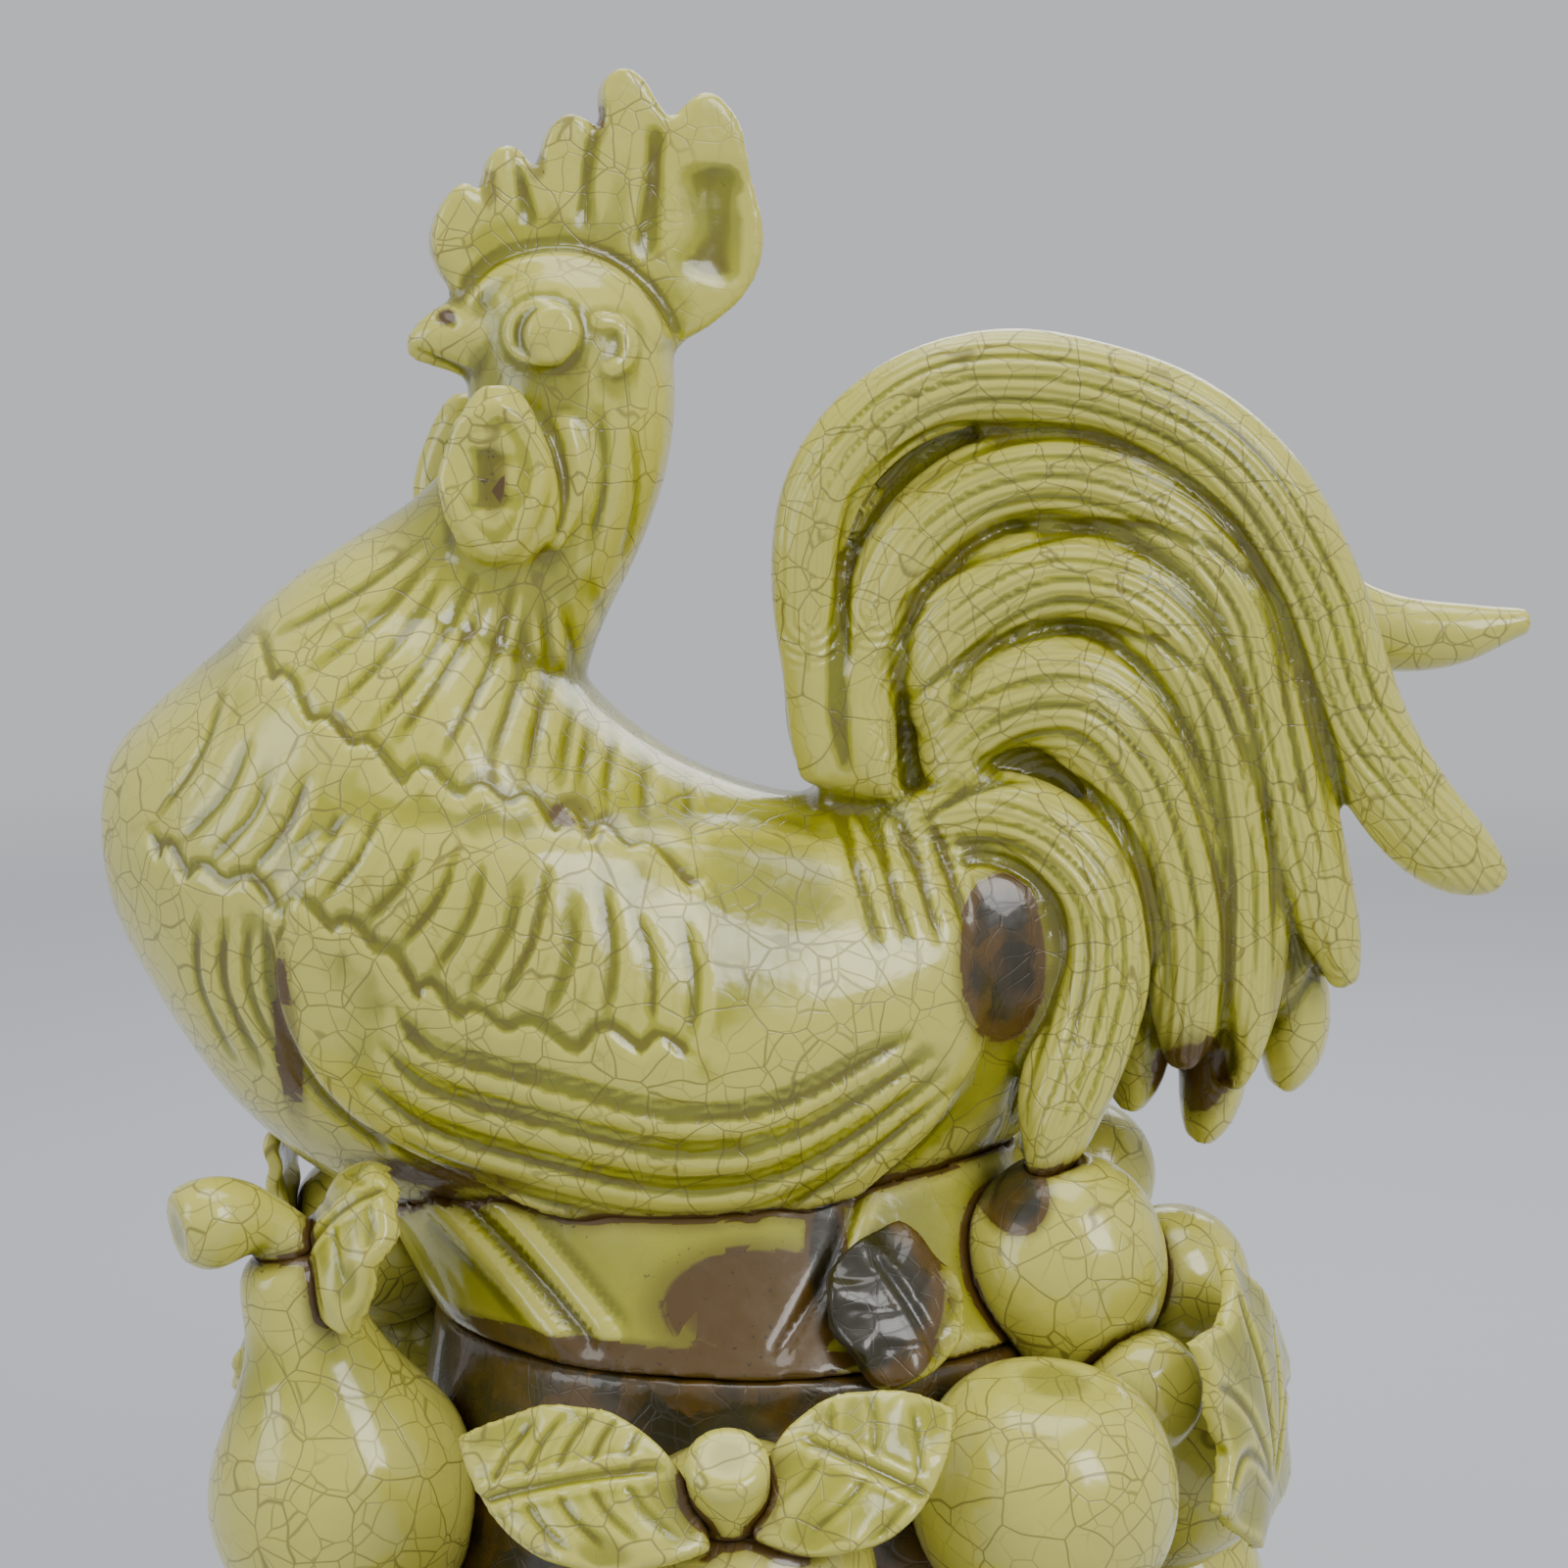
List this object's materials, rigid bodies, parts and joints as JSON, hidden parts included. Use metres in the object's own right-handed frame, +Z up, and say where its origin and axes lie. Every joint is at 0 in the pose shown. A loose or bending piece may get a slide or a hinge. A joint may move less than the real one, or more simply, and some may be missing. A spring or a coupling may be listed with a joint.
{
  "type": "ceramic cockerel figure",
  "caption": "Glazed earthenware cockerel with an arching tail, seated on a hollow mound of moulded fruit and leaves.",
  "frame": {"origin": "centre of the foot ring, on the plane that the figure stands on", "axes": "+Z up, -X the way the cockerel faces, -Y its left side"},
  "size_m": [0.2928, 0.2355, 0.365],
  "materials": {
    "glaze": "glossy chartreuse crackle glaze with brown stain in the hollows"
  },
  "bodies": {
    "root": {"back_apple_1": "glaze", "back_apple_2": "glaze", "back_leaf_left": "glaze", "back_leaf_right": "glaze", "back_peach_1": "glaze", "back_peach_2": "glaze", "back_pear": "glaze", "body": "glaze", "brown_leaf": "glaze", "comb": "glaze", "core_mound": "glaze", "foot_ring": "glaze", "front_apple": "glaze", "front_leaf_left": "glaze", "front_leaf_right": "glaze", "front_stem": "glaze", "left_eye": "glaze", "left_leaf": "glaze", "left_plum": "glaze", "left_sickle_1": "glaze", "left_sickle_2": "glaze", "left_sickle_3": "glaze", "left_sickle_4": "glaze", "left_sickle_5": "glaze", "left_wattle": "glaze", "left_wing": "glaze", "lower_apple_1": "glaze", "lower_apple_2": "glaze", "lower_apple_3": "glaze", "lower_apple_4": "glaze", "lower_pear_1": "glaze", "lower_pear_2": "glaze", "lower_quince_1": "glaze", "lower_quince_2": "glaze", "pear": "glaze", "pear_leaf": "glaze", "pear_stem": "glaze", "perch": "glaze", "right_apple": "glaze", "right_eye": "glaze", "right_sickle_1": "glaze", "right_sickle_2": "glaze", "right_sickle_3": "glaze", "right_sickle_4": "glaze", "right_sickle_5": "glaze", "right_wattle": "glaze", "right_wing": "glaze", "side_quince": "glaze", "small_plum": "glaze", "tail_core": "glaze", "under_tail_1": "glaze", "under_tail_2": "glaze", "under_tail_3": "glaze", "upper_apple": "glaze", "upper_peach": "glaze", "upper_plum": "glaze", "vine_leaf_back": "glaze", "vine_leaf_left": "glaze", "vine_leaf_right": "glaze"}
  },
  "joints": []
}
